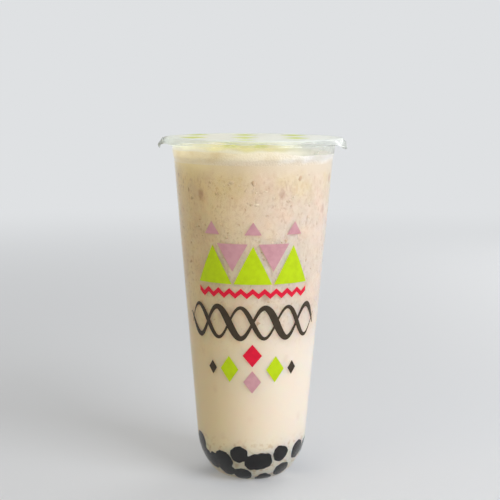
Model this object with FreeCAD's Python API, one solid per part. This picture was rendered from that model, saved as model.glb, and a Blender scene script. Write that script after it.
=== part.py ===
# Milk tea with tapioca pearls in a tall clear cup, closed by a heat-sealed film.
# Millimetres, +Z up, origin at the centre of the cup's flat foot. The front is -Y.
import FreeCAD
import Part
import math
import os
import random

# Cup: a tapered injection-moulded cup with a rounded base
rim_height = 179.6
rim_radius = 45.0
flange_height = 3.0
flange_thickness = 1.2
lip_thickness = 0.9
neck_radius = 41.98  # outer wall, just under the flange
taper = 0.0832  # radius lost for each millimetre down
wall = 0.9  # the same all over, floor and sides
ledge_height = 169.5  # stacking ledge, where the wall widens
ledge_rise = 1.2
ledge_step = 0.4
foot_radius = 14.0
heel_radius = 10.0  # the base leaves the foot on this small arc
heel_turn = 50.0  # degrees turned on it, before a larger arc runs up into the side

# Contents
drink_level = 167.6
foam_level = 171.2
pearl_radius = 4.3
pearl_press = 0.75  # how deep a pearl is flattened against the wall
heap_level = 14.4  # the pearls are close-packed up to here, and stand out of it in lumps

# Pearls of the heap's top that lie against the front of the cup: degrees round
# from the front, height of the centre, and size against pearl_radius
front_pearls = [
    (-66, 20.8, 1.00),
    (-58, 14.0, 1.00),
    (-34, 13.6, 1.12),
    (-13, 17.8, 1.00),
    (0, 14.6, 1.00),
    (13, 15.0, 1.02),
    (31, 18.2, 0.98),
    (57, 18.0, 0.98),
]
# Rows of the heap's top: pearls in the row, first and last degrees, height, and
# reach from the cup's axis, or None against the wall
heap_rows = [
    (8, 80, 280, 16.6, None),
    (6, 0, 300, 14.6, 15.2),
    (3, 20, 260, 15.4, 6.4),
]

# Sealing film: a disc on the rim with a loose skirt that is crumpled at two ears
film_thickness = 0.4
film_facets = 96
skirt_clearance = 0.08
skirt_reach = 46.3
skirt_drop = 3.6
# Waves round the skirt: how many, how far they move it out and down, and phase
skirt_waves = [(5, 0.0, 0.5, 1.1), (7, 0.3, 0.0, 0.6), (13, 0.0, -0.4, 0.0), (17, 0.22, 0.0, 0.0)]
bend_out = 0.45  # where the skirt bends, as a share of its way out and of its drop
bend_down = 0.55
# Ears: degrees round from the front, further reach, further drop
ears = [(-90.0, 3.5, 1.6), (90.0, 3.0, 2.8)]
ear_width = 9.0  # degrees


def place(radius, degrees, height):
    """A point at this many degrees round from the front, counted towards +X."""
    turn = math.radians(degrees)
    return FreeCAD.Vector(radius * math.sin(turn), -radius * math.cos(turn), height)


def wall_radius(height):
    return neck_radius - taper * (rim_height - flange_height - height)


def side_arc():
    """Radius of the base's larger arc, which meets the tapered side smoothly."""
    low = math.radians(heel_turn)
    high = math.radians(90) - math.atan(taper)
    spare = wall_radius(0) - foot_radius - heel_radius * math.sin(low)
    spare += taper * heel_radius * (1 - math.cos(low))
    widening = math.sin(high) - math.sin(low) - taper * (math.cos(low) - math.cos(high))
    return spare / widening


def base_point(degrees, inset=0.0):
    """The point of the base where it has turned this far from level, on a wall moved inward."""
    turn = math.radians(degrees)
    join = math.radians(heel_turn)
    radius = heel_radius
    centre = (foot_radius, heel_radius)
    if degrees > heel_turn:
        radius = side_arc()
        shift = heel_radius - radius
        centre = (foot_radius + shift * math.sin(join), heel_radius - shift * math.cos(join))
    radius -= inset
    return centre[0] + radius * math.sin(turn), centre[1] - radius * math.cos(turn)


def vector(point):
    return FreeCAD.Vector(point[0], 0, point[1])


def line(start, end):
    return Part.LineSegment(vector(start), vector(end)).toShape()


def chain(points):
    return [line(start, end) for start, end in zip(points, points[1:])]


def base_arcs(inset):
    """The rounded base, as two arcs from the foot's edge up into the side."""
    end = 90 - math.degrees(math.atan(taper))
    arcs = []
    for first, last in ((0.0, heel_turn), (heel_turn, end)):
        middle = base_point((first + last) / 2, inset)
        arc = Part.Arc(vector(base_point(first, inset)), vector(middle), vector(base_point(last, inset)))
        arcs.append(arc.toShape())
    return arcs


def side_points(inset, top):
    """The side from the rounded base up past the stacking ledge."""
    ledge_top = ledge_height + ledge_rise
    return [base_point(90 - math.degrees(math.atan(taper)), inset),
            (side_radius(ledge_height, inset), ledge_height),
            (side_radius(ledge_top, inset) + ledge_step, ledge_top),
            (side_radius(top, inset) + ledge_step, top)]


def side_radius(height, inset):
    """Radius of the tapered side, on a wall moved inward square to itself."""
    return wall_radius(height) - inset * math.hypot(1, taper)


def revolve(edges):
    face = Part.Face(Part.Wire(edges))
    return face.revolve(FreeCAD.Vector(0, 0, 0), FreeCAD.Vector(0, 0, 1), 360)


def make_cup():
    lip_low = rim_height - flange_height
    under = rim_height - flange_thickness
    outside = side_points(0.0, under)
    inside = side_points(wall, rim_height)
    lip = [outside[-1],
           (rim_radius - lip_thickness, under),
           (rim_radius - lip_thickness, lip_low),
           (rim_radius, lip_low),
           (rim_radius, rim_height),
           inside[-1]]
    edges = chain([(0, wall), (0, 0), (foot_radius, 0)])
    edges += base_arcs(0.0)
    edges += chain(outside)
    edges += chain(lip)
    edges += chain(inside[::-1])
    edges += base_arcs(wall)[::-1]
    edges += chain([(foot_radius, wall), (0, wall)])
    return revolve(edges)


def make_cavity():
    """All of the space inside the cup, from its floor to its rim."""
    inside = side_points(wall, rim_height)
    edges = chain([(0, rim_height), (0, wall), (foot_radius, wall)])
    edges += base_arcs(wall)
    edges += chain(inside)
    edges += chain([inside[-1], (0, rim_height)])
    return revolve(edges)


def slab(low, high):
    return Part.makeCylinder(rim_radius, high - low, FreeCAD.Vector(0, 0, low))


def inner_radius(height):
    """Radius of the inside of the cup at this height."""
    inside = Part.Wire(base_arcs(wall) + chain(side_points(wall, rim_height)))
    level = line((0, height), (rim_radius, height))
    return level.distToShape(inside)[1][0][0].x


def pearl_spots():
    """Centre and radius of each pearl of the heap's top."""
    pearls = [(degrees, height, size * pearl_radius, None) for degrees, height, size in front_pearls]
    chance = random.Random(11)
    for count, first, last, height, reach in heap_rows:
        for number in range(count):
            degrees = first + (last - first) * number / (count - 1) + chance.uniform(-4, 4)
            level = height + chance.uniform(-1.0, 1.2)
            radius = pearl_radius * chance.uniform(0.92, 1.1)
            pearls.append((degrees, level, radius, reach))
    spots = []
    for degrees, level, radius, reach in pearls:
        if reach is None:
            reach = inner_radius(level) + pearl_press - radius
        spots.append((place(reach, degrees, level), radius))
    return spots


def make_pearls(cavity):
    balls = [Part.makeSphere(radius, centre) for centre, radius in pearl_spots()]
    heap = slab(0, heap_level).multiFuse(balls)
    return heap.common(cavity)


def ear(degrees, centre):
    away = (degrees - centre + 180) % 360 - 180
    return math.exp(-(away / ear_width) ** 2)


def skirt_edge(degrees):
    """Radius and height of the skirt's lower edge at this angle."""
    reach = skirt_reach
    drop = skirt_drop
    for count, out, down, phase in skirt_waves:
        wave = math.sin(count * math.radians(degrees) + phase)
        reach += out * wave
        drop += down * wave
    for centre, out, down in ears:
        size = ear(degrees, centre)
        reach += size * out
        drop += size * down
    return reach, rim_height + film_thickness - drop


def film_section(degrees):
    """The skirt's outline at one angle, down its outside and back up its inside."""
    top = rim_height + film_thickness
    inner = rim_radius + skirt_clearance
    outer = inner + film_thickness
    reach, low = skirt_edge(degrees)
    bend = (outer + bend_out * (reach - outer), top - bend_down * (top - low))
    outline = [(inner, top), (outer, top - film_thickness), bend, (reach, low),
               (reach - film_thickness, low), (bend[0] - film_thickness, bend[1]),
               (inner, rim_height)]
    return [place(radius, degrees, height) for radius, height in outline]


def make_film():
    step = 360 / film_facets
    sections = [film_section(step * number) for number in range(film_facets)]
    faces = []
    for number, section in enumerate(sections):
        after = sections[(number + 1) % film_facets]
        for a, b, c, d in zip(section, section[1:], after[1:], after):
            faces.append(Part.Face(Part.makePolygon([a, b, c, a])))
            faces.append(Part.Face(Part.makePolygon([a, c, d, a])))
    for end in (0, -1):
        ring = [section[end] for section in sections]
        faces.append(Part.Face(Part.makePolygon(ring + ring[:1])))
    solid = Part.makeSolid(Part.makeShell(faces))
    if solid.Volume < 0:
        solid.reverse()
    return solid


def main():
    cavity = make_cavity()
    pearls = make_pearls(cavity)
    drink = cavity.common(slab(0, drink_level)).cut(pearls)
    foam = cavity.common(slab(drink_level, foam_level))
    nodes = {
        "cup": make_cup(),
        "seal_film": make_film(),
        "milk_foam": foam,
        "milk_tea": drink,
        "tapioca_pearls": pearls,
    }
    os.makedirs("parts", exist_ok=True)
    for name, shape in nodes.items():
        shape.exportStep("parts/" + name + ".step")
        print(name, shape.isValid(), len(shape.Solids), round(shape.Volume / 1000, 2), "cm3")


main()
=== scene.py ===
import math
import random

import bmesh
import bpy
from mathutils import Euler, Matrix, Vector, noise


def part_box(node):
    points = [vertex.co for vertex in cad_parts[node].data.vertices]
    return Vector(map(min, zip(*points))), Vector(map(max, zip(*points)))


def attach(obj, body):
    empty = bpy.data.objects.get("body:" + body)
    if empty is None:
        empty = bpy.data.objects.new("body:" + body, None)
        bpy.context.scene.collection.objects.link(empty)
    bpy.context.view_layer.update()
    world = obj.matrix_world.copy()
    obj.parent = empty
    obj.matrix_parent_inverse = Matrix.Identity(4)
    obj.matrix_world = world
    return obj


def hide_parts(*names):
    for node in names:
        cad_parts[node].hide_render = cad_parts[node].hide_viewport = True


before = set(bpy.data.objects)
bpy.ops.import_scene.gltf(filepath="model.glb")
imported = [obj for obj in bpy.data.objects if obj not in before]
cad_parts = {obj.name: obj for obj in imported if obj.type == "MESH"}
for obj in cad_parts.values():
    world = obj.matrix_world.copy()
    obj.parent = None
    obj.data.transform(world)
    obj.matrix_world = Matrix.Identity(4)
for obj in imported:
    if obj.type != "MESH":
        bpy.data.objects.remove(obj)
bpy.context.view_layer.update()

mm = 0.001
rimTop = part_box("cup")[1][2]
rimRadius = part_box("cup")[1][0]
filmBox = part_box("seal_film")
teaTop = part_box("milk_tea")[1][2]
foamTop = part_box("milk_foam")[1][2]

sharpAngle = math.radians(40)  # faces that meet at more than this keep a sharp edge

times = {"operation": "MULTIPLY"}  # settings that many nodes share
plus = {"operation": "ADD"}
timesPlus = {"operation": "MULTIPLY_ADD"}
larger = {"operation": "MAXIMUM"}
unsigned = {"operation": "ABSOLUTE"}
below = {"operation": "LESS_THAN"}
length = {"operation": "LENGTH"}
blend = {"data_type": "RGBA"}  # a colour mix takes its factor at 0 and its colours at 6 and 7
smooth = {"interpolation_type": "SMOOTHSTEP"}  # a range takes its value at 0 and its ends at 1 to 4


def hexLinear(text):  # a colour as a screen shows it, in the linear values that nodes take
    parts = [int(text[i:i + 2], 16) / 255 for i in (1, 3, 5)]
    return [p / 12.92 if p <= 0.04045 else ((p + 0.055) / 1.055) ** 2.4 for p in parts] + [1.0]


def addNode(tree, kind, links=None, settings=None):  # the kind leaves out "ShaderNode", as most start with it
    node = tree.nodes.new(kind if "Node" in kind else "ShaderNode" + kind)
    for name, value in (settings or {}).items():
        setattr(node, name, value)
    for key, value in (links or {}).items():
        if isinstance(value, bpy.types.Node):  # a node stands for its first output in use
            value = next(output for output in value.outputs if output.enabled)
        if str(value).startswith("#"):
            value = hexLinear(value)
        if isinstance(value, bpy.types.NodeSocket):
            tree.links.new(value, node.inputs[key])
        else:
            node.inputs[key].default_value = value
    return node


def newMaterial(name):
    mat = bpy.data.materials.new(name)
    mat.use_nodes = True
    mat.node_tree.nodes.clear()
    return mat, mat.node_tree, addNode(mat.node_tree, "TexCoord").outputs["Object"]


def closeShader(tree, body, shadow=None):
    # light that comes through a thing is tinted like this where its shadow would fall
    if shadow is not None:
        clear = addNode(tree, "BsdfTransparent", {"Color": shadow})
        ray = addNode(tree, "LightPath").outputs["Is Shadow Ray"]
        body = addNode(tree, "MixShader", {0: ray, 1: body, 2: clear})
    addNode(tree, "OutputMaterial", {0: body})


def newObject(name, data):
    obj = bpy.data.objects.new(name, data)
    bpy.context.scene.collection.objects.link(obj)
    return obj


def meshObject(name, verts, faces):
    mesh = bpy.data.meshes.new(name)
    mesh.from_pydata(verts, [], faces)
    mesh.validate()
    bm = bmesh.new()
    bm.from_mesh(mesh)
    bmesh.ops.remove_doubles(bm, verts=bm.verts, dist=1e-7)
    bmesh.ops.recalc_face_normals(bm, faces=bm.faces)
    bm.to_mesh(mesh)
    bm.free()
    mesh.polygons.foreach_set("use_smooth", [True] * len(mesh.polygons))
    mesh.set_sharp_from_angle(angle=sharpAngle)
    return newObject(name, mesh)


def around(radius, degrees, height):  # degrees are counted from the front towards +X
    turn = math.radians(degrees)
    return Vector((radius * math.sin(turn), -radius * math.cos(turn), height))


def spin(name, outline, segments, shape=None):
    # a closed solid: the outline starts and ends on the axis
    verts, faces = [], []
    rings = outline[1:-1]
    for k in range(segments):
        degrees = 360 * k / segments
        for radius, height in rings:
            point = around(radius, degrees, height)
            verts.append(shape(point, radius) if shape else point)
    n = len(rings)
    for k in range(segments):
        a, b = k * n, (k + 1) % segments * n
        faces += [(a + j, b + j, b + j + 1, a + j + 1) for j in range(n - 1)]
    for end, ring in ((outline[0], 0), (outline[-1], n - 1)):
        point = Vector((0, 0, end[1]))
        verts.append(shape(point, 0.0) if shape else point)
        pole = len(verts) - 1
        faces += [(k * n + ring, (k + 1) % segments * n + ring, pole) for k in range(segments)]
    return meshObject(name, verts, faces)


def applyModifiers(obj):
    bpy.context.view_layer.update()
    made = bpy.data.meshes.new_from_object(obj.evaluated_get(bpy.context.evaluated_depsgraph_get()))
    obj.modifiers.clear()
    old = obj.data
    obj.data = made
    bpy.data.meshes.remove(old)
    obj.data.name = obj.name


def finishPiece(obj, material, slotName, *nodes):
    obj.data.materials.clear()
    obj.data.materials.append(material)
    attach(obj, "root")
    if nodes:
        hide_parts(*nodes)
    print(obj.name, len(obj.data.polygons), "faces")


cup = {
    "wall": 0.9 * mm,
    "flangeHeight": 3.0 * mm,
    "flangeThickness": 1.2 * mm,
    "lipThickness": 0.9 * mm,
    "rimBead": 0.35 * mm,  # radius of the rim's outer corner
    "neckRadius": 41.98 * mm,  # outside, just under the flange
    "taper": 0.0832,
    "ledgeHeight": 168.4 * mm,
    "ledgeRise": 3.4 * mm,  # moulded with a soft bend
    "ledgeStep": 0.4 * mm,
    "footRadius": 14.0 * mm,
    "heelRadius": 10.0 * mm,
    "heelTurn": 50.0,
    "segments": 192,
    "ripple": 11.11 * mm,  # slight unevenness of the moulded faces
    "rippleDepth": 0.6 * mm,
    "runs": 11.0 * mm,  # runs of foam down the inner face
    "headspace": 175 * mm,  # a height in the empty top, at which the wall's middle is taken
    # the veil's own white, and a yellow that is painted light, as tinted by the film's print
    "veilAndGlowTones": ("#eef0e8", "#f3ecb4"),
    "glowMiddle": -4 * mm,  # the painted yellow light is strongest near here
    "leastVeil": 0.003,  # a faint haze all over the wall
    # painted light of the film's lime print
    "lime": "#d2dc0a",
    "paintedLimeSpots": ((-11.2 * mm, 5.2 * mm), (3.3 * mm, 4.4 * mm)),  # spots of painted lime light in the veil, under the film's print: place, width
    "smearSwing": 5 * mm,
    # masks: where each starts and ends, and its value at both ends
    "masks": {
        "rough": (0.3, 0.7, 0.04, 0.09),
        # where the veil is painted yellow
        "yellow": (32 * mm, 10 * mm, 0, 1),
        "above": (170.2 * mm, 171.2 * mm, 0, 1),  # the veil starts over the drink
        "patchy": (0.35, 0.65, 0.52, 0.72),
        "aside": (18 * mm, 30 * mm, 1, 0.4),  # and is thinner at the right
        "lime": (176.2 * mm, 177.5 * mm, 0, 0.9),  # the painted lime light lies only close under the film
        "dense": (178.5 * mm, 176.5 * mm, 0, 0.85),  # the smear's upper edge
        "clings": (30 * mm, 14 * mm, 0, 1),  # there is none at the right
    },
}


def taperRadius(height):
    return cup["neckRadius"] - cup["taper"] * (rimTop - cup["flangeHeight"] - height)


def basePoint(degrees, inset):
    low, high = math.radians(cup["heelTurn"]), math.atan(1 / cup["taper"])
    heel, foot, taper = cup["heelRadius"], cup["footRadius"], cup["taper"]
    spare = taperRadius(0) - foot - heel * math.sin(low) + taper * heel * (1 - math.cos(low))
    side = spare / (math.sin(high) - math.sin(low) - taper * (math.cos(low) - math.cos(high)))
    radius, centre = heel, (foot, heel)
    if degrees > cup["heelTurn"]:
        radius = side
        centre = (foot + (heel - side) * math.sin(low), heel - (heel - side) * math.cos(low))
    turn = math.radians(degrees)
    return centre[0] + (radius - inset) * math.sin(turn), centre[1] - (radius - inset) * math.cos(turn)


def sideOutline(inset, top, steps=28):
    # from the foot's edge up the base and the side, on a wall moved inward
    end = math.degrees(math.atan(1 / cup["taper"]))
    points = [basePoint(end * k / steps, inset) for k in range(steps + 1)]
    shift = inset * math.hypot(1, cup["taper"])
    start, ledge, rise = points[-1][1], cup["ledgeHeight"], cup["ledgeRise"]
    for k in range(1, steps + 1):
        height = start + (min(top, ledge) - start) * k / steps
        points.append((taperRadius(height) - shift, height))
    for share in (0.25, 0.5, 0.75, 1.0):
        if top > ledge:
            height = ledge + share * rise
            step = cup["ledgeStep"] * (3 * share ** 2 - 2 * share ** 3)
            points.append((taperRadius(height) - shift + step, height))
    for share in (0.25, 0.5, 0.75, 1.0):
        if top > ledge + rise:
            height = ledge + rise + share * (top - ledge - rise)
            points.append((taperRadius(height) - shift + cup["ledgeStep"], height))
    return points


innerLine = sideOutline(cup["wall"], rimTop)


def insideRadius(height):
    for low, high in zip(innerLine, innerLine[1:]):
        if low[1] <= height <= high[1]:
            return low[0] + (high[0] - low[0]) * (height - low[1]) / max(high[1] - low[1], 1e-9)
    return innerLine[0][0]


def outsideRadius(height):
    return insideRadius(height) + cup["wall"] * math.hypot(1, cup["taper"])


def clearPolypropylene():
    # injection-moulded polypropylene: clear and glossy with a faint milky haze, and it lets the lamps
    # through; above the drink its inner face is smeared with foam, and veiled where foam has run down it
    mat, tree, coord = newMaterial("clear_polypropylene")
    split = addNode(tree, "SeparateXYZ", {0: coord})
    across, height = split.outputs[0], split.outputs[2]
    flow = addNode(tree, "Mapping", {"Vector": coord, "Scale": (1, 1, 0.2)})
    ripple = addNode(tree, "TexNoise", {"Vector": flow, "Scale": 1 / cup["ripple"], "Detail": 2})
    runs = addNode(tree, "TexNoise", {"Vector": coord, "Scale": 1 / cup["runs"], "Detail": 3})
    fromMiddle = addNode(tree, "Math", {0: across, 1: -cup["glowMiddle"]}, plus)
    fromMiddle = addNode(tree, "Math", {0: fromMiddle}, unsigned)
    uneven = addNode(tree, "Math", {0: runs, 1: cup["smearSwing"], 2: height}, timesPlus)
    sources = {"rough": ripple, "yellow": fromMiddle, "above": height, "patchy": runs, "aside": across,
               "lime": height, "dense": uneven, "clings": across}
    masks = {}
    for name, ends in cup["masks"].items():
        masks[name] = addNode(tree, "MapRange", dict(enumerate((sources[name], *ends))), smooth)

    # the inner face is nearer the axis than the wall's middle, whatever the taper
    reach = addNode(tree, "Mapping", {"Vector": coord, "Scale": (1, 1, 0)})
    reach = addNode(tree, "VectorMath", {0: reach}, length).outputs["Value"]
    upright = addNode(tree, "Math", {0: height, 1: -cup["taper"], 2: reach}, timesPlus)
    middle = outsideRadius(cup["headspace"]) - cup["taper"] * cup["headspace"] - cup["wall"] / 2
    innerFace = addNode(tree, "Math", {0: upright, 1: middle}, below)
    veil = smear = addNode(tree, "Math", {0: masks["above"], 1: innerFace}, times)
    for name in ("aside", "patchy"):
        veil = addNode(tree, "Math", {0: veil, 1: masks[name]}, times)
    for name in ("dense", "clings"):
        smear = addNode(tree, "Math", {0: smear, 1: masks[name]}, times)

    # painted light: the veil is tinted yellow, with lime spots, where light through the film's print would
    # fall
    white, yellow = cup["veilAndGlowTones"]
    shade = addNode(tree, "Mix", {0: masks["yellow"], 6: white, 7: yellow}, blend)
    for place, width in cup["paintedLimeSpots"]:
        away = addNode(tree, "Math", {0: across, 1: -place}, plus)
        away = addNode(tree, "Math", {0: away}, unsigned)
        near = addNode(tree, "MapRange", {"Value": away, "From Min": width, "From Max": width * 0.3}, smooth)
        near = addNode(tree, "Math", {0: near, 1: masks["lime"]}, times)
        shade = addNode(tree, "Mix", {0: near, 6: shade, 7: cup["lime"]}, blend)

    bump = addNode(tree, "Bump", {"Height": ripple, "Strength": 0.06, "Distance": cup["rippleDepth"]})
    plastic = addNode(tree, "BsdfPrincipled", {
        "Base Color": "#f7f8f8", "Roughness": masks["rough"], "IOR": 1.49,
        "Transmission Weight": 1.0, "Normal": bump})
    haze = addNode(tree, "BsdfTranslucent", {"Color": shade})
    share = addNode(tree, "Math", {0: veil, 1: cup["leastVeil"]}, plus)
    body = addNode(tree, "MixShader", {0: share, 1: plastic, 2: haze})
    # the smear is the drink's own foam, thin enough to let light through
    glow = addNode(tree, "BsdfTranslucent", {"Color": drink["foam"]})
    wet = addNode(tree, "BsdfPrincipled", {"Base Color": drink["foam"], "Roughness": 0.5, "IOR": 1.34})
    foamy = addNode(tree, "MixShader", {0: drink["through"], 1: wet, 2: glow})
    body = addNode(tree, "MixShader", {0: smear, 1: body, 2: foamy})
    closeShader(tree, body, "#f6f7f7")
    return mat


def makeCup():
    under = rimTop - cup["flangeThickness"]
    lipLow = rimTop - cup["flangeHeight"]
    lipInside = rimRadius - cup["lipThickness"]
    bead = cup["rimBead"]
    outline = [(0, 0), (cup["footRadius"] * 0.5, 0)] + sideOutline(0.0, under)
    outline += [(lipInside - bead, under), (lipInside, under - bead), (lipInside, lipLow)]
    outline += [(rimRadius - bead, lipLow), (rimRadius, lipLow + bead)]
    for k in range(5):
        turn = math.radians(22.5 * k)
        outline.append((rimRadius - bead + bead * math.cos(turn), rimTop - bead + bead * math.sin(turn)))
    outline += innerLine[::-1]
    outline += [(cup["footRadius"] * 0.5, cup["wall"]), (0, cup["wall"])]
    obj = spin("moulded_cup", outline, cup["segments"])
    finishPiece(obj, clearPolypropylene(), "clear_polypropylene", "cup")


drink = {
    "bite": 0.12 * mm,  # how far the drink reaches into the wall, so that no air shows
    "segments": 160,
    "cream": "#eadfd1",  # the smooth lower part
    "tan": "#d6c6b6",  # the upper part, with the ice
    "tanPaintedLeft": "#e9dbc7",  # the same to the left, with painted light that lifts the shade on that side
    "rose": "#e0cbb9",
    "straw": "#dac79f",  # near the top
    # the same to the left, with painted light that lifts the shade on that side
    "strawPaintedLeft": "#f3e3bf",
    "pale": "#efe6da",
    "foam": "#f5f0e7",
    "froth": "#dccdb8",  # foam that hangs down into the drink
    "frothPaintedLeft": "#fdf3df",  # the same to the left, with painted light that lifts the shade on that side
    "through": 0.45,  # how much of the light on foam comes through it
    "gap": "#b3906a",  # specks of darker tea between the grains
    "spot": "#b58f78",
    "dust": "#c7a678",
    "grain": 2.1 * mm,
    "grainTone": 0.30,  # how far a grain's own tone goes from the tea's
    "spotSpacing": 12.0 * mm,
    "leastSpots": 0.22,  # in the smooth lower part
    "warp": 2.381 * mm,  # bends the cells' edges
    "bend": (1.5 * mm, 1.5 * mm, 2.2 * mm),
    "noises": {  # size and detail
        "drift": (40.0 * mm, 1),
        "mottle": (16.0 * mm, 3),
        "thick": (9.0 * mm, 2),
        "pebbles": (1.2 * mm, 2),
        "strokes": (1.5 * mm, 1),
        "dust": (2.5 * mm, 3),
        "edge": (9.0 * mm, 3),
    },
    "swings": {"drift": 30 * mm, "edge": 8 * mm},  # how far these move a level up
    "masks": {  # as for the cup
        "upper": (78 * mm, 125 * mm, 0, 1),  # the icy part
        # painted light: the upper tone turns lighter towards the left
        "paintedLean": (34 * mm, -36 * mm, 0, 1),
        # painted light on the left side, for the straw and the froth
        "left": (-6 * mm, -30 * mm, 0, 1),
        "rosy": (0.42, 0.68, 0, 1),
        "strawy": (0.62, 0.36, 0.15, 0.85),
        "high": (142 * mm, 160 * mm, 0, 1),
        "thick": (0.36, 0.66, 0.35, 1),  # where the grains lie close
        "specks": (0.46, 0.12, 0, 0.48),
        "pebbles": (0.48, 0.74, 0, 0.36),
        "strokes": (0.60, 0.80, 0, 0.32),  # where the grains have slid along the wall
        "spots": (0.23, 0.08, 0, 0.62),
        "dust": (0.50, 0.68, 0, 0.6),  # off the pearls, just above the heap
        "low": (28 * mm, 20 * mm, 0, 1),
        "edge": (164.0 * mm, 171.2 * mm, 0, 1),  # foam that hangs down with an uneven lower edge
        "spread": (154 * mm, 166 * mm, 0.8, 0),
    },
}


def paintedShadeTint(tree, coord, colour, strength):
    # painted shade: the drink is tinted yellower towards the left, the side that lies in shade
    across = addNode(tree, "SeparateXYZ", {0: coord}).outputs[0]
    place = addNode(tree, "MapRange", {"Value": across, "From Min": -34 * mm, "From Max": 34 * mm}, smooth)
    tint = addNode(tree, "ValToRGB", {0: place})
    stops = tint.color_ramp.elements
    stops[0].color = hexLinear("#fff7d2")
    stops[1].color = hexLinear("#ffffff")
    stops.new(0.5).color = hexLinear("#fefaef")
    return addNode(tree, "Mix", {
        0: strength, 6: colour, 7: tint}, {"data_type": "RGBA", "blend_type": "MULTIPLY"})


def milkyTea():
    # tea shaken with milk and crushed ice: opaque cream, grainy where the ice floats and smooth below
    mat, tree, coord = newMaterial("milky_tea")
    split = addNode(tree, "SeparateXYZ", {0: coord})
    across, height = split.outputs[0], split.outputs[2]
    warp = addNode(tree, "TexNoise", {"Vector": coord, "Scale": 1 / drink["warp"], "Detail": 2})
    bent = addNode(tree, "VectorMath", {0: warp.outputs["Color"], 1: drink["bend"], 2: coord}, timesPlus)
    tall = addNode(tree, "Mapping", {"Vector": bent, "Scale": (1, 1, 0.72)})
    slid = addNode(tree, "Mapping", {"Vector": coord, "Rotation": (0.12, 0.35, 0), "Scale": (1, 1, 0.2)})
    sources = {}
    for name, (size, detail) in drink["noises"].items():
        vector = {"pebbles": tall, "strokes": slid}.get(name, coord)
        sources[name] = addNode(tree, "TexNoise", {"Vector": vector, "Scale": 1 / size, "Detail": detail})
    for name, swing in drink["swings"].items():
        sources[name] = addNode(tree, "Math", {0: sources[name], 1: swing, 2: height}, timesPlus)
    # grains of ice: each cell has a tone of its own, and a speck of darker tea as large as its number says
    cells = addNode(tree, "TexVoronoi", {"Vector": tall, "Scale": 1 / drink["grain"]})
    spots = addNode(tree, "TexVoronoi", {"Vector": tall, "Scale": 1 / drink["spotSpacing"]})
    number = addNode(tree, "SeparateColor", {0: cells.outputs["Color"]})
    specks = addNode(tree, "Math", {
        0: cells.outputs["Distance"], 1: number.outputs[0]}, {"operation": "DIVIDE"})
    sources.update({
        "upper": sources["drift"], "rosy": sources["mottle"], "strawy": sources["mottle"],
        "specks": specks, "spots": spots.outputs["Distance"], "paintedLean": across, "left": across,
        "high": height, "low": height, "spread": height})
    masks = {}
    for name, ends in drink["masks"].items():
        masks[name] = addNode(tree, "MapRange", dict(enumerate((sources[name], *ends))), smooth)

    # painted light: the tones lighten towards the left, against the shade there
    left, upper = masks["left"], masks["upper"]
    tanned = addNode(tree, "Mix", {0: masks["paintedLean"], 6: drink["tan"], 7: drink["tanPaintedLeft"]}, blend)
    base = addNode(tree, "Mix", {0: upper, 6: drink["cream"], 7: tanned}, blend)
    straw = addNode(tree, "Mix", {0: left, 6: drink["straw"], 7: drink["strawPaintedLeft"]}, blend)
    hanging = addNode(tree, "Mix", {0: left, 6: drink["froth"], 7: drink["frothPaintedLeft"]}, blend)
    grainy = addNode(tree, "Math", {0: upper, 1: drink["grainTone"]}, times)
    thick = addNode(tree, "Math", {0: masks["thick"], 1: upper}, times)
    dotted = addNode(tree, "Math", {0: upper, 1: drink["leastSpots"]}, larger)
    # tone over tone: the mask of each, what holds the mask back, and the tone
    for mask, limit, tone in (
            (masks["rosy"], upper, drink["rose"]),
            (masks["strawy"], masks["high"], straw),
            (number.outputs[1], grainy, drink["pale"]),
            (masks["specks"], thick, drink["gap"]),
            (masks["pebbles"], thick, drink["gap"]),
            (masks["strokes"], thick, drink["gap"]),
            (masks["spots"], dotted, drink["spot"]),
            (masks["dust"], masks["low"], drink["dust"]),
            (masks["edge"], 1.0, hanging)):
        mask = addNode(tree, "Math", {0: mask, 1: limit}, times)
        base = addNode(tree, "Mix", {0: mask, 6: base, 7: tone}, blend)
    # the base colour takes the painted shade tint, yellower to the left
    # light spreads in the milk, but less towards the foam, where it would leak out between the two pieces
    tea = addNode(tree, "BsdfPrincipled", {
        "Base Color": paintedShadeTint(tree, coord, base, 1.0), "Roughness": 0.45, "IOR": 1.35,
        "Subsurface Weight": masks["spread"], "Subsurface Radius": (1.0, 0.62, 0.34),
        "Subsurface Scale": 10 * mm})
    closeShader(tree, tea)
    return mat


foam = {
    "wave": 0.35 * mm,
    "sink": 0.3 * mm,  # the waves stand this much lower than the CAD's flat top
    "ripples": (90, 260, 70),  # to the metre: waves of 11 and 4 mm, and the foam's creeping edge
    "climb": (0.7 * mm, 2.9 * mm),  # how far the foam creeps up the wall, at the right and at the left
    "climbWidth": 1.2 * mm,
    "climbFrom": 24 * mm,  # to the right of here it creeps up least
    "climbOver": 12 * mm,  # and this much further left it creeps up most
    "rings": 40,
    "bubbles": 900,
    "bubbleRadius": (0.25 * mm, 1.0 * mm),
    "cells": 0.9 * mm,  # fine bubbles, drawn larger than they are so that they show
    "soft": 8.333 * mm,
    "runs": 9.0 * mm,
    "footSwing": 4 * mm,
    # painted light: the foam's tone towards the right, where the lamps fall
    "pale": "#f9f6f4",
    "shaded": ("#e9dfcb", "#f0ebe3"),  # painted shade in soft patches, darker at the left than at the right
    "pit": "#cdb897",
    "masks": {  # as for the cup
        "soft": (0.4, 0.75, 0, 1),
        # painted light towards the right, painted tones towards the left
        "right": (4 * mm, 22 * mm, 0, 1),
        "left": (-6 * mm, -30 * mm, 0, 1),
        "pits": (0.15, 0.0, 0, 0.35),
        "foot": (172.8 * mm, 169.4 * mm, 0, 1),
        "through": (167.6 * mm, 171.0 * mm, 0, drink["through"]),
    },
}


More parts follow.
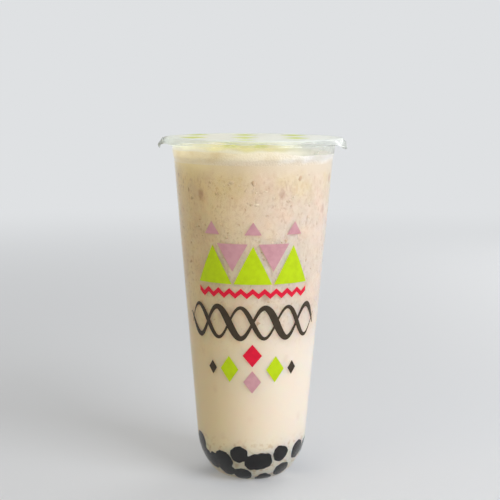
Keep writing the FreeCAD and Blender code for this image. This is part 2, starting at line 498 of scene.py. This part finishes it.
def milkFoam():
    # frothed milk: pale, wet, full of light and pricked with fine bubbles
    mat, tree, coord = newMaterial("milk_foam")
    split = addNode(tree, "SeparateXYZ", {0: coord})
    across, height = split.outputs[0], split.outputs[2]
    cells = addNode(tree, "TexVoronoi", {"Vector": coord, "Scale": 1 / foam["cells"]})
    soft, runs = [addNode(tree, "TexNoise", {
        "Vector": coord, "Scale": 1 / foam[name], "Detail": 3}) for name in ("soft", "runs")]
    uneven = addNode(tree, "Math", {0: runs, 1: foam["footSwing"], 2: height}, timesPlus)
    sources = {"soft": soft, "right": across, "left": across, "pits": cells, "foot": uneven,
               "through": height}
    masks = {}
    for name, ends in foam["masks"].items():
        masks[name] = addNode(tree, "MapRange", dict(enumerate((sources[name], *ends))), smooth)

    # painted light: paler towards the right, with soft patches of painted shade, darker at the left
    # at its foot it takes the tone of the froth that hangs down in the drink, up to an uneven edge
    pale = addNode(tree, "Mix", {0: masks["right"], 6: drink["foam"], 7: foam["pale"]}, blend)
    shaded = addNode(tree, "Mix", {0: masks["right"], 6: foam["shaded"][0], 7: foam["shaded"][1]}, blend)
    hanging = addNode(tree, "Mix", {0: masks["left"], 6: drink["froth"], 7: drink["frothPaintedLeft"]}, blend)
    colour = pale
    for name, tone in (("soft", shaded), ("pits", foam["pit"]), ("foot", hanging)):
        colour = addNode(tree, "Mix", {0: masks[name], 6: colour, 7: tone}, blend)
    # a weaker painted shade tint, yellower to the left
    colour = paintedShadeTint(tree, coord, colour, 0.4)
    bump = addNode(tree, "Bump", {"Height": cells, "Strength": 0.5, "Distance": 0.3 * mm})
    froth = addNode(tree, "BsdfPrincipled", {
        "Base Color": colour, "Roughness": 0.32, "IOR": 1.34, "Normal": bump,
        "Subsurface Weight": 0.1, "Subsurface Radius": (1.0, 0.9, 0.7), "Subsurface Scale": 3 * mm})
    glow = addNode(tree, "BsdfTranslucent", {"Color": colour, "Normal": bump})
    # less light comes through it at its foot, over the drink
    body = addNode(tree, "MixShader", {0: masks["through"], 1: froth, 2: glow})
    closeShader(tree, body, "#f4ecdf")
    return mat


def makeTea():
    sides = [(radius + drink["bite"], height) for radius, height in sideOutline(cup["wall"], teaTop)]
    low = cup["wall"] - drink["bite"]
    outline = [(0, low), (cup["footRadius"] * 0.5, low), (cup["footRadius"], low)] + sides[1:]
    outline += [(sides[-1][0] * share, teaTop) for share in (0.8, 0.5, 0.2)] + [(0, teaTop)]
    obj = spin("milk_tea_column", outline, drink["segments"])
    finishPiece(obj, milkyTea(), "tea", "milk_tea")


def froth(point, radius):
    if point.z < foamTop - 0.1 * mm:
        return point
    long, short, creep = foam["ripples"]
    wave = noise.noise(point * long) + 0.5 * noise.noise(point * short)
    least, most = foam["climb"]
    left = min(max((foam["climbFrom"] - point.x) / foam["climbOver"], 0.0), 1.0)
    climb = least + (most - least) * left * (0.85 + 0.5 * noise.noise(point * creep))
    point.z += foam["wave"] * wave - foam["sink"]
    beside = insideRadius(foamTop) - point.xy.length
    point.z += climb * math.exp(-max(beside, 0.0) / foam["climbWidth"])
    if beside < 0:  # the edge itself stays in the wall as that widens
        out = (insideRadius(point.z) + drink["bite"]) / point.xy.length
        point.x, point.y = point.x * out, point.y * out
    return point


def makeFoam(material):
    # the side follows the ledge in the wall closely, so that no air shows beside it
    sides = [(radius, height) for radius, height in sideOutline(cup["wall"], foamTop) if height > teaTop]
    sides = [(insideRadius(teaTop), teaTop)] + sides
    sides = [(radius + drink["bite"], height) for radius, height in sides]
    outline = [(0, teaTop)] + [(sides[0][0] * share, teaTop) for share in (0.3, 0.7)] + sides
    outline += [(sides[-1][0] * (1 - k / foam["rings"]), foamTop) for k in range(1, foam["rings"])]
    outline.append((0, foamTop))
    obj = spin("foam_layer", outline, drink["segments"], froth)
    finishPiece(obj, material, "foam", "milk_foam")


makeCup()
makeTea()
frothedMilk = milkFoam()
makeFoam(frothedMilk)
print("cup, tea and foam made")


def pointCloud(name, places):
    mesh = bpy.data.meshes.new(name)
    mesh.from_pydata([place for place, size in places], [], [])
    sizes = mesh.attributes.new("size", "FLOAT", "POINT")
    sizes.data.foreach_set("value", [size for place, size in places])
    return newObject(name, mesh)


def runTree(obj, tree, values):
    modifier = obj.modifiers.new(tree.name, "NODES")
    modifier.node_group = tree
    for item in tree.interface.items_tree:
        if item.in_out == "INPUT" and item.name in values:
            modifier[item.identifier] = values[item.name]
    applyModifiers(obj)
    obj.data.polygons.foreach_set("use_smooth", [True] * len(obj.data.polygons))


def lumpTree(name, material):
    # an uneven ball on each point, as large as the point's own size says
    tree = bpy.data.node_groups.new(name, "GeometryNodeTree")
    tree.interface.new_socket("Geometry", in_out="INPUT", socket_type="NodeSocketGeometry")
    for label, kind, value in (
            ("Lump Size", "NodeSocketFloat", 6.0 * mm), ("Lump Depth", "NodeSocketFloat", 0.2 * mm),
            ("Squash", "NodeSocketFloat", 1.0), ("Detail", "NodeSocketInt", 4), ("Seed", "NodeSocketInt", 1)):
        tree.interface.new_socket(label, in_out="INPUT", socket_type=kind).default_value = value
    tree.interface.new_socket("Geometry", in_out="OUTPUT", socket_type="NodeSocketGeometry")
    given = addNode(tree, "NodeGroupInput")
    ball = addNode(tree, "GeometryNodeMeshIcoSphere", {
        "Radius": 1.0, "Subdivisions": given.outputs["Detail"]})
    size = addNode(tree, "GeometryNodeInputNamedAttribute", {"Name": "size"}, {"data_type": "FLOAT"})
    anyTurn = (6.283, 6.283, 6.283)  # radians
    turn = addNode(tree, "FunctionNodeRandomValue", {
        0: (0, 0, 0), 1: anyTurn, "Seed": given.outputs["Seed"]}, {"data_type": "FLOAT_VECTOR"})
    flat = addNode(tree, "CombineXYZ", {0: 1.0, 1: 1.0, 2: given.outputs["Squash"]})
    scale = addNode(tree, "VectorMath", {
        0: flat, "Scale": size.outputs["Attribute"]}, {"operation": "SCALE"})
    placed = addNode(tree, "GeometryNodeInstanceOnPoints", {
        "Points": given.outputs["Geometry"], "Instance": ball.outputs["Mesh"],
        "Rotation": turn.outputs[0], "Scale": scale})
    real = addNode(tree, "GeometryNodeRealizeInstances", {0: placed})
    spot = addNode(tree, "GeometryNodeInputPosition")
    finer = addNode(tree, "Math", {0: 1.0, 1: given.outputs["Lump Size"]}, {"operation": "DIVIDE"})
    lump = addNode(tree, "TexNoise", {"Vector": spot, "Scale": finer, "Detail": 3.0, "Roughness": 0.45})
    centred = addNode(tree, "Math", {0: lump, 1: 0.5}, {"operation": "SUBTRACT"})
    depth = addNode(tree, "Math", {0: centred, 1: given.outputs["Lump Depth"]}, times)
    normal = addNode(tree, "GeometryNodeInputNormal")
    shift = addNode(tree, "VectorMath", {0: normal, "Scale": depth}, {"operation": "SCALE"})
    moved = addNode(tree, "GeometryNodeSetPosition", {0: real, "Offset": shift})
    again = addNode(tree, "GeometryNodeRealizeInstances", {0: moved})
    coloured = addNode(tree, "GeometryNodeSetMaterial", {0: again, "Material": material})
    addNode(tree, "NodeGroupOutput", {0: coloured})
    return tree


def pressToWall(obj, bite):
    # what lies against the wall is flattened by it, and reaches just into it
    floor = cup["wall"] - bite
    for vert in obj.data.vertices:
        vert.co.z = max(vert.co.z, floor)
        limit = insideRadius(vert.co.z) + bite
        reach = vert.co.xy.length
        if reach > limit:
            vert.co.x *= limit / reach
            vert.co.y *= limit / reach
    obj.data.update()


def makeBubbles(material):
    # froth bubbles that ride on the foam: most are small, and they lie thickest along the wall
    chance = random.Random(31)
    small, large = foam["bubbleRadius"]
    places = []
    for number in range(foam["bubbles"]):
        radius = small + (large - small) * chance.random() ** 3
        reach = (insideRadius(foamTop) - radius) * chance.random() ** 0.42
        height = foamTop - 0.25 * mm - 0.5 * radius
        places.append((around(reach, 360 * chance.random(), height), radius))
    obj = pointCloud("foam_bubbles", places)
    runTree(obj, lumpTree("frothBubbles", material), {
        "Lump Size": 2 * mm, "Lump Depth": 0.1 * mm, "Squash": 0.9, "Detail": 2, "Seed": 3})
    pressToWall(obj, drink["bite"])
    finishPiece(obj, material, "foam")


pearls = {
    "radius": 4.75 * mm,
    "press": 0.60,  # how deep a pearl is flattened against the wall, as a share of its radius
    "bite": 0.26 * mm,  # deeper into the wall than the tea, so that the pearls show through it
    # pearls against the front: degrees from the front, height and size against the radius
    "front": [
        (-68.5, 20.0, 1.22), (-62, 13.6, 1.12), (-53, 11.0, 1.02), (-33.5, 14.0, 1.22), (-33, 8.8, 1.06),
        (-13.6, 17.9, 1.10), (3.2, 13.8, 1.20), (12.6, 14.5, 1.18), (-12.2, 6.3, 1.04), (18, 3.6, 0.94),
        (32.6, 17.7, 1.04), (41, 8.0, 1.08), (59.5, 17.0, 1.18), (78, 17.0, 0.98), (-78, 9.0, 1.05),
        (-46, 13.0, 0.92)],
    # rows behind them: how many, first and last degrees, height and reach, or None against the wall
    "rows": [
        (10, 94, 280, 17.4, None), (9, 86, 274, 9.6, None), (7, 88, 272, 4.9, None),
        (6, 0, 300, 14.6, 15.2), (3, 20, 260, 15.4, 6.4), (6, 30, 330, 7.4, 12.0), (1, 0, 0, 6.0, 2.0)],
    "cloud": 5.556 * mm,
    "tones": ("#080605", "#1c1415"),
}


def cookedTapioca():
    # tapioca boiled in brown sugar: nearly black, with little gloss of its own while it lies wet in the tea
    mat, tree, coord = newMaterial("cooked_tapioca")
    dark, brown = pearls["tones"]
    cloud = addNode(tree, "TexNoise", {"Vector": coord, "Scale": 1 / pearls["cloud"], "Detail": 3})
    share = addNode(tree, "MapRange", {"Value": cloud, "From Min": 0.45, "From Max": 0.8}, smooth)
    colour = addNode(tree, "Mix", {0: share, 6: dark, 7: brown}, blend)
    bump = addNode(tree, "Bump", {"Height": cloud, "Strength": 0.2, "Distance": 0.5 * mm})
    pearl = addNode(tree, "BsdfPrincipled", {
        "Base Color": colour, "Roughness": 0.3, "IOR": 1.42, "Normal": bump, "Specular IOR Level": 0.06})
    closeShader(tree, pearl)
    return mat


def pearlSpots():
    spots = [(degrees, height * mm, size * pearls["radius"], None)
             for degrees, height, size in pearls["front"]]
    chance = random.Random(11)
    for count, first, last, height, reach in pearls["rows"]:
        for number in range(count):
            degrees = first + (last - first) * number / max(count - 1, 1) + chance.uniform(-4, 4)
            level = (height + chance.uniform(-1.0, 1.2)) * mm
            radius = pearls["radius"] * chance.uniform(0.92, 1.1)
            spots.append((degrees, level, radius, None if reach is None else reach * mm))
    places = []
    for degrees, level, radius, reach in spots:
        if reach is None:
            reach = insideRadius(level) + (pearls["press"] - 1) * radius
        places.append((around(reach, degrees, level), radius))
    return places


def makePearls():
    material = cookedTapioca()
    obj = pointCloud("boba_pearls", pearlSpots())
    runTree(obj, lumpTree("pearlHeap", material), {
        "Lump Size": 3.0 * mm, "Lump Depth": 2.4 * mm, "Squash": 0.97, "Detail": 4, "Seed": 5})
    pressToWall(obj, pearls["bite"])
    finishPiece(obj, material, "tapioca", "tapioca_pearls")


ice = {
    "grains": 360,
    "low": 84 * mm,
    "high": 164 * mm,
    "radius": (1.1 * mm, 2.7 * mm),
    "press": 0.30,  # how far a grain stands into the wall's side, as a share of its radius
    "bite": 0.17 * mm,
    "turn": 0.6180339,  # of the way round from one grain to the next, so that they never line up
    "cloud": 6.0 * mm,
    "tones": ("#decfbd", "#c6ab90"),
}


def crushedIce():
    # ice wetted with milky tea, seen through the wall: dull patches a shade off the tea round it
    mat, tree, coord = newMaterial("crushed_ice")
    light, dark = ice["tones"]
    cloud = addNode(tree, "TexNoise", {"Vector": coord, "Scale": 1 / ice["cloud"], "Detail": 2})
    share = addNode(tree, "MapRange", {"Value": cloud, "From Min": 0.38, "From Max": 0.66}, smooth)
    colour = addNode(tree, "Mix", {0: share, 6: light, 7: dark}, blend)
    # the ice's colour takes the painted shade tint too, yellower to the left
    grain = addNode(tree, "BsdfPrincipled", {
        "Base Color": paintedShadeTint(tree, coord, colour, 1.0), "Roughness": 0.5, "IOR": 1.31,
        "Specular IOR Level": 0.08})
    closeShader(tree, grain)
    return mat


def makeIce():
    # crushed ice floats in the upper part, close behind the wall, and most grains are small
    chance = random.Random(23)
    small, large = ice["radius"]
    places = []
    for number in range(ice["grains"]):
        height = ice["low"] + (ice["high"] - ice["low"]) * chance.random() ** 0.75
        radius = small + (large - small) * chance.random() ** 2
        reach = insideRadius(height) + (ice["press"] - 1) * radius
        places.append((around(reach, 360 * (number * ice["turn"] % 1), height), radius))
    material = crushedIce()
    obj = pointCloud("crushed_ice", places)
    runTree(obj, lumpTree("iceGrains", material), {
        "Lump Size": 1.8 * mm, "Lump Depth": 1.7 * mm, "Squash": 0.7, "Detail": 2, "Seed": 9})
    pressToWall(obj, ice["bite"])
    finishPiece(obj, material, "tea")


makeBubbles(frothedMilk)
makePearls()
makeIce()
print("bubbles, pearls and ice made")


film = {
    "thickness": 0.10 * mm,  # thicker than the real 0.05 mm, so that the mesh holds
    "segments": 480,
    "discRings": 26,
    "skirtRings": 16,
    "overRim": 0.18 * mm,  # the skirt starts this far outside the rim
    "sag": 0.12 * mm,  # the flat top stands this far under the solid's
    "wrinkle": 0.10 * mm,
    "wrinkles": 120,  # to the metre, so about 8 mm each
    "drop": 3.3 * mm,
    "shallow": 0.55,  # the skirt is this much shallower at the front
    "reach": 0.8 * mm,
    # waves round the skirt: how many, how far out and down, and phase
    "waves": [(5, 0, 0.5 * mm, 1.1), (13, 0, -0.35 * mm, 0.0), (7, 0.25 * mm, 0, 0.6)],
    # crumpling: folds to the metre, steps down the skirt, and a shift that keeps the three apart
    "crumples": [(160, 2.1, 0), (330, 1.4, 5), (520, 3.2, 9)],
    "crumpleOut": (0.5 * mm, 0.45 * mm),
    "tuftOut": 1.1 * mm,
    "tuftUp": (1.6 * mm, 1.9 * mm),
    "ears": [(-90.0, 2.9 * mm, 1.5 * mm), (90.0, 2.5 * mm, 2.8 * mm)],  # degrees, further reach and drop
    "earWidth": 7.5,
    "crease": 6.25 * mm,
    "white": ("#f2f3f0", "#bdbfbc"),  # milky film when it lies flat, and with painted grey shade in the crumpled tufts
    "looseShare": 0.45,  # how milky a tuft is
    # as it lies flat, and where it is gathered or sealed: how rough, how dull and how milky
    "levels": {"rough": (0.5, 0.55), "dull": (0.75, 0.8), "sealed": (0.80, 0.88)},
    "masks": {  # as for the cup
        "tuft": (44.0 * mm, 47.0 * mm, 0, 1),
        "ring": (40.5 * mm, 42.5 * mm, 0, 1),  # sealed to the flange
        "turned": (36.0 * mm, 42.0 * mm, 0, 1),  # the seal is gathered towards the right ear
        "skirt": (179.0 * mm, 179.7 * mm, 0.06, 1),  # clear below the seal
    },
    "printRadius": 41.0 * mm,  # the print ends inside the seal
    "ink": "#d3df3e",
    "inkEdge": (1.03, 0.97, 0, 0.6),
    "inkShadow": 0.4,
    "inkShift": (4.5 * mm, 11.0 * mm, 0),
    "lozenge": (15 * mm, 20 * mm),  # width and length
    "spacing": (26 * mm, 32 * mm),
}


def sealingFilm():
    # heat-sealing film: milky and satin, clearer where its skirt hangs loose, with lozenges printed on it
    mat, tree, coord = newMaterial("sealing_film")
    split = addNode(tree, "SeparateXYZ", {0: coord})
    either = addNode(tree, "Math", {0: split.outputs[0]}, unsigned)
    reach = addNode(tree, "Mapping", {"Vector": coord, "Scale": (1, 1, 0)})
    reach = addNode(tree, "VectorMath", {0: reach}, length).outputs["Value"]
    sources = {"tuft": either, "ring": reach, "turned": split.outputs[0], "skirt": split.outputs[2]}
    masks = {}
    for name, ends in film["masks"].items():
        masks[name] = addNode(tree, "MapRange", dict(enumerate((sources[name], *ends))), smooth)
    tuft, ring = masks["tuft"], masks["ring"]
    gathered = addNode(tree, "Math", {0: masks["turned"], 1: ring}, times)
    gathered = addNode(tree, "Math", {0: tuft, 1: gathered}, larger)
    levels = {}
    for name, source in (("rough", gathered), ("dull", gathered), ("sealed", ring)):
        least, most = film["levels"][name]
        levels[name] = addNode(tree, "MapRange", {"Value": source, "To Min": least, "To Max": most})
    loose = addNode(tree, "Math", {0: tuft, 1: film["looseShare"]}, times)
    sealed = addNode(tree, "Math", {0: levels["sealed"], 1: masks["skirt"]}, times)
    share = addNode(tree, "Math", {0: loose, 1: sealed}, larger)

    crease = addNode(tree, "TexNoise", {
        "Vector": coord, "Scale": 1 / film["crease"], "Detail": 4, "Distortion": 0.8})
    bump = addNode(tree, "Bump", {"Height": crease, "Strength": 0.35, "Distance": 0.5 * mm})
    sheet = addNode(tree, "BsdfPrincipled", {
        "Base Color": "#f6f8f6", "Roughness": levels["rough"], "IOR": 1.46,
        "Transmission Weight": 1.0, "Normal": bump})
    # painted shade: the crumpled tufts are greyer than the flat film
    white = addNode(tree, "Mix", {0: tuft, 6: film["white"][0], 7: film["white"][1]}, blend)
    haze = addNode(tree, "BsdfTranslucent", {"Color": white, "Normal": bump})
    satin = addNode(tree, "BsdfPrincipled", {
        "Base Color": white, "Roughness": levels["dull"], "Normal": bump, "Specular IOR Level": 0.0})
    milky = addNode(tree, "MixShader", {0: 0.5, 1: haze, 2: satin})
    body = addNode(tree, "MixShader", {0: share, 1: sheet, 2: milky})

    # lozenges, from the distance to the nearest middle both ways
    moved = addNode(tree, "Mapping", {"Vector": coord, "Location": film["inkShift"]})
    moved = addNode(tree, "SeparateXYZ", {0: moved})
    far = 0.0
    for axis in (0, 1):
        along = addNode(tree, "Math", {
            0: moved.outputs[axis], 1: film["spacing"][axis] / 2}, {"operation": "PINGPONG"})
        far = addNode(tree, "Math", {0: along, 1: 2 / film["lozenge"][axis], 2: far}, timesPlus)
    printed = addNode(tree, "MapRange", dict(enumerate((far, *film["inkEdge"]))), smooth)
    inside = addNode(tree, "Math", {0: reach, 1: film["printRadius"]}, below)
    printed = addNode(tree, "Math", {0: printed, 1: inside}, times)
    ink = addNode(tree, "BsdfPrincipled", {
        "Base Color": film["ink"], "Roughness": 0.6, "Normal": bump, "Transmission Weight": 0.2,
        "Specular IOR Level": 0.0})
    body = addNode(tree, "MixShader", {0: printed, 1: body, 2: ink})
    faint = addNode(tree, "Math", {0: printed, 1: film["inkShadow"]}, times)
    tint = addNode(tree, "Mix", {0: faint, 6: "#f0f2ef", 7: film["ink"]}, blend)
    closeShader(tree, body, tint)
    return mat


def skirtPoint(degrees, share, edge, top):
    # the loose skirt outside the seal, crumpled into a tuft at each ear
    turn = math.radians(degrees)
    drop = film["drop"] * (1 - film["shallow"] * max(0.0, math.cos(turn)) ** 1.5)
    reach = film["reach"]
    for count, out, down, phase in film["waves"]:
        reach += out * math.sin(count * turn + phase)
        drop += down * math.sin(count * turn + phase)
    seed = around(rimRadius, degrees, 0)
    crumple, fold, tuft = [noise.noise(Vector((seed.x * scale, seed.y * scale, share * step + shift)))
                           for scale, step, shift in film["crumples"]]
    fold = abs(fold)
    loose = 0.0
    for centre, out, down in film["ears"]:
        away = (degrees - centre + 180) % 360 - 180
        size = math.exp(-(away / film["earWidth"]) ** 2)
        loose = max(loose, size)
        reach += size * out
        drop += size * down
    arc = math.sin(min(1.0, share * 1.15) * math.pi / 2)
    radius = edge + reach * (share ** 0.7 if loose > 0.1 else arc * share)
    crumpleOut, foldOut = film["crumpleOut"]
    radius += share * (crumpleOut * crumple + foldOut * fold) * (0.6 + 1.2 * loose)
    radius += share * loose * film["tuftOut"] * tuft
    foldUp, tuftUp = film["tuftUp"]
    height = top - drop * share ** (1.0 + 0.7 * loose)
    height += share * loose * (foldUp * (fold - 0.3) + tuftUp * tuft)
    return around(max(radius, edge), degrees, height)


def makeFilm():
    count, discRings, skirtRings = film["segments"], film["discRings"], film["skirtRings"]
    edge = rimRadius + film["overRim"]
    top = filmBox[1][2] - film["sag"]
    room = film["thickness"]
    verts, faces = [Vector((0, 0, top))], []
    for ring in range(1, discRings + skirtRings + 1):
        for k in range(count):
            degrees = 360 * k / count
            if ring <= discRings:
                radius = edge * (ring / discRings) ** 0.8
                point = around(radius, degrees, top)
                point.z += film["wrinkle"] * noise.noise(point * film["wrinkles"]) * (1.3 - radius / edge)
                point.z = max(point.z, rimTop + 0.06 * mm)
            else:
                point = skirtPoint(degrees, (ring - discRings) / skirtRings, edge, top)
            for axis in range(3):  # no further out than the film's solid
                low, high = filmBox[0][axis] + room, filmBox[1][axis] - room
                point[axis] = min(max(point[axis], low), high)
            verts.append(point)
    faces += [(0, 1 + k, 1 + (k + 1) % count) for k in range(count)]
    for ring in range(discRings + skirtRings - 1):
        a = 1 + ring * count
        b = a + count
        faces += [(a + k, b + k, b + (k + 1) % count, a + (k + 1) % count) for k in range(count)]
    obj = meshObject("printed_film", verts, faces)
    solid = obj.modifiers.new("thickness", "SOLIDIFY")
    solid.thickness = film["thickness"]
    solid.offset = 0.0
    applyModifiers(obj)
    finishPiece(obj, sealingFilm(), "printed_film", "seal_film")


makeFilm()
print("film made")


art = {
    "lift": 0.05 * mm,  # the ink's outer face over the wall
    "depth": 0.03 * mm,
    "step": 1.2 * mm,  # longest edge, so that the ink follows the round wall
    "level": 100 * mm,  # widths are true at this height
    "cloud": 3.333 * mm,
    "lime": ("#c8e304", "#bfd903"),
    "crimson": ("#ee1239", "#e01036"),
    "pink": ("#d9a2a8", "#d0979e"),
    "dark": ("#453a2b", "#3c3124"),
    # the design, in mm: across the front from its middle, and up from the foot
    "peaks": (-20.0, 0.0, 20.0),
    "mountain": (108.5, 19.0, 19.5),  # triangles: where the base is, width, and height
    "pennant": (129, 15.0, -14),
    "summit": (133.5, 8, 6.5),
    "lozenges": {  # middle, width and height
        "lime": [(-13, 64, 10.5, 14), (13, 64, 10.5, 14)],
        "pink": [(0, 57.5, 10, 12)],
        "crimson": [(0, 71.5, 10.5, 12)],
        "dark": [(-23.5, 64, 5.5, 7.5), (23.5, 64, 5.5, 7.5)],
    },
    "zigzag": (-29.5, 29.5, 103.8, 1.3, 1.35, 20),  # from, to, middle, swing, half its thickness, strokes
    "waves": [(-39, 39, 2.0, 0.75, 0.0), (-39, 39, 1.3, 0.55, math.pi)],  # from, to, heavy, light, phase
    "waveHeight": 88.5,
    "waveSwing": 8.0,
    "waveLength": 25.0,
    "tickHeights": (115, 128, 141, 152),  # level marks at the side
    "tick": [(53.2, 0), (54.0, 0), (55.4, 1.6), (54.6, 1.6)],
}


def screenInk(name, shades):
    # screen-printed ink on plastic: flat colour with slight unevenness in its film
    mat, tree, coord = newMaterial(name)
    cloud = addNode(tree, "TexNoise", {"Vector": coord, "Scale": 1 / art["cloud"], "Detail": 3})
    share = addNode(tree, "MapRange", {"Value": cloud, "From Min": 0.35, "From Max": 0.75}, smooth)
    colour = addNode(tree, "Mix", {0: share, 6: shades[0], 7: shades[1]}, blend)
    rough = addNode(tree, "MapRange", {
        "Value": cloud, "From Min": 0.3, "From Max": 0.7, "To Min": 0.30, "To Max": 0.42}, smooth)
    ink = addNode(tree, "BsdfPrincipled", {
        "Base Color": colour, "Roughness": rough, "IOR": 1.5, "Specular IOR Level": 0.25})
    # thin ink lets most of the light through to the drink behind the wall, so its shadow there is faint
    closeShader(tree, ink, "#dcdad6")
    return mat


def wrapFlat(name, shapes, material):
    # flat outlines, in mm across the front and mm of height, wrapped on the outside of the cup
    bm = bmesh.new()
    for outline in shapes:
        bm.faces.new([bm.verts.new((x * mm, 0, z * mm)) for x, z in outline])
    bmesh.ops.triangulate(bm, faces=bm.faces)
    for _ in range(7):  # halves the long edges, more often than the longest needs
        long = [edge for edge in bm.edges if edge.calc_length() > art["step"]]
        if long:
            bmesh.ops.subdivide_edges(bm, edges=long, cuts=1)
            bmesh.ops.triangulate(bm, faces=bm.faces)
    bmesh.ops.remove_doubles(bm, verts=bm.verts, dist=1e-6)
    for vert in bm.verts:
        radius = outsideRadius(vert.co.z) + art["lift"]
        turn = vert.co.x / outsideRadius(art["level"])
        vert.co = Vector((radius * math.sin(turn), -radius * math.cos(turn), vert.co.z))
    mesh = bpy.data.meshes.new(name)
    bm.to_mesh(mesh)
    bm.free()
    obj = newObject(name, mesh)
    solid = obj.modifiers.new("depth", "SOLIDIFY")
    solid.thickness = art["depth"]
    solid.offset = -1.0
    applyModifiers(obj)
    finishPiece(obj, material, "clear_polypropylene")


def lozenge(x, z, width, height):
    return [(x, z - height / 2), (x + width / 2, z), (x, z + height / 2), (x - width / 2, z)]


def triangle(x, z, width, height):  # a negative height points it down
    corners = [(x - width / 2, z), (x + width / 2, z), (x, z + height)]
    return corners if height > 0 else corners[::-1]


def zigzag(first, last, middle, swing, thick, turns):
    quads, step = [], (last - first) / turns
    for k in range(turns):
        a, b = first + k * step, first + (k + 1) * step
        low, high = (middle - swing, middle + swing) if k % 2 else (middle + swing, middle - swing)
        quads.append([(a, low - thick), (b, high - thick), (b, high + thick), (a, low + thick)])
    return quads


def brushWave(first, last, heavy, light, phase, steps=120):
    # a brushed wave: heavy on its way down and light on its way up, measured across the stroke
    swing, turns = art["waveSwing"], 2 * math.pi / art["waveLength"]
    left, right = [], []
    for k in range(steps + 1):
        x = first + (last - first) * k / steps
        turn = turns * x + phase
        slope = swing * turns * math.cos(turn)
        half = light + (heavy - light) * (0.5 - 0.5 * math.cos(turn))
        half *= min(1.0, 0.15 + 9 * min(k, steps - k) / steps)  # thin at both ends
        away = Vector((-slope, 1)).normalized() * half
        z = art["waveHeight"] + swing * math.sin(turn)
        left.append((x + away.x, z + away.y))
        right.append((x - away.x, z - away.y))
    return list(zip(right, right[1:], left[1:], left))


def makePrint():
    peaks = art["peaks"]
    gaps = [(a + b) / 2 for a, b in zip(peaks, peaks[1:])]
    designs = {
        "lime": [triangle(x, *art["mountain"]) for x in peaks],
        "pink": [triangle(x, *art["pennant"]) for x in gaps] + [triangle(x, *art["summit"]) for x in peaks],
        "crimson": zigzag(*art["zigzag"]),
        "dark": [quad for wave in art["waves"] for quad in brushWave(*wave)],
    }
    for ink, shapes in designs.items():
        shapes += [lozenge(*place) for place in art["lozenges"][ink]]
        if ink == "dark":
            shapes += [[(x, z + height) for x, z in art["tick"]] for height in art["tickHeights"]]
        wrapFlat("print_" + ink, shapes, screenInk(ink + "_ink", art[ink]))


makePrint()
print("print made")


stage = {
    "floorSize": 3.0,
    "floor": "#e3e4e5",
    "backdrop": "#dfe1e3",
    "lift": 0.22,  # the floor's own pale tone, seen by the camera and in glossy and clear things only
    "lamps": {
        "key": {"place": (0.74, -0.62, 0.66), "size": 0.65, "power": 8.7, "colour": "#f6f9ff"},
        "fill": {"place": (-0.90, -0.70, 0.60), "size": 0.9, "power": 2.1, "colour": "#fff0d0"},
        "back": {"place": (0.55, 0.75, 0.45), "size": 0.5, "power": 2.6, "colour": "#ffffff"},
        "top": {"place": (-0.15, 0.10, 1.10), "size": 0.7, "power": 1.1, "colour": "#ffffff"},
    },
    "fade": (0.15, 1.3),  # metres from the middle, over which the floor turns into the backdrop
    "sky": 0.25,
    "aim": (0, 0, 0.09),
}


def seenRays(tree):
    rays = addNode(tree, "LightPath")
    seen = addNode(tree, "Math", {
        0: rays.outputs["Is Camera Ray"], 1: rays.outputs["Is Glossy Ray"]}, larger)
    return addNode(tree, "Math", {0: seen, 1: rays.outputs["Is Transmission Ray"]}, larger)


def makeStage():
    mesh = bpy.data.meshes.new("floor")
    half = stage["floorSize"] / 2
    corners = [(-half, -half, 0), (half, -half, 0), (half, half, 0), (-half, half, 0)]
    mesh.from_pydata(corners, [], [(0, 1, 2, 3)])
    floor = newObject("floor", mesh)
    # painted board: matt and pale, and it turns into the backdrop far away
    mat, tree, coord = newMaterial("pale_floor")
    far = addNode(tree, "VectorMath", {0: coord}, length).outputs["Value"]
    paint = addNode(tree, "BsdfPrincipled", {"Base Color": stage["floor"], "Roughness": 0.7})
    glow = addNode(tree, "Emission", {"Color": stage["backdrop"], "Strength": 1.0})
    share = addNode(tree, "MapRange", {
        "Value": far, "From Min": stage["fade"][0], "From Max": stage["fade"][1],
        "To Min": stage["lift"], "To Max": 1.0}, smooth)
    share = addNode(tree, "Math", {0: share, 1: seenRays(tree)}, times)
    both = addNode(tree, "MixShader", {0: share, 1: paint, 2: glow})
    closeShader(tree, both)
    mesh.materials.append(mat)

    world = bpy.data.worlds.new("studio")
    bpy.context.scene.world = world
    world.use_nodes = True
    tree = world.node_tree
    tree.nodes.clear()
    seen = seenRays(tree)
    level = addNode(tree, "MapRange", {"Value": seen, "To Min": stage["sky"], "To Max": 1.0})
    tint = addNode(tree, "Mix", {0: seen, 6: (1, 1, 1, 1), 7: stage["backdrop"]}, blend)
    sky = addNode(tree, "Background", {"Color": tint, "Strength": level})
    addNode(tree, "OutputWorld", {0: sky})

    aim = Vector(stage["aim"])
    for name, settings in stage["lamps"].items():
        lamp = bpy.data.lights.new(name, "AREA")
        lamp.energy = settings["power"]
        lamp.size = settings["size"]
        lamp.color = hexLinear(settings["colour"])[:3]
        holder = newObject(name, lamp)
        holder.location = settings["place"]
        holder.rotation_euler = (aim - holder.location).to_track_quat("-Z", "Y").to_euler()


camera = {
    "away": 0.5509,
    "height": 0.2048,
    "aside": -0.0015,
    "pitch": 0.1519,
    "roll": 0.0062,
    "lens": 76.03,
    "sensor": 36.0,
}


def makeCamera():
    lens = bpy.data.cameras.new("camera")
    lens.sensor_width = camera["sensor"]
    lens.lens = camera["lens"]
    lens.clip_start = 0.01
    eye = newObject("camera", lens)
    eye.location = (camera["aside"], -camera["away"], camera["height"])
    level = Euler((math.pi / 2 - camera["pitch"], 0, 0)).to_matrix()
    eye.rotation_euler = (level @ Matrix.Rotation(camera["roll"], 3, "Z")).to_euler()
    bpy.context.scene.camera = eye


makeStage()
makeCamera()
bpy.context.scene.view_settings.view_transform = "Standard"
print("stage, lights and camera set")
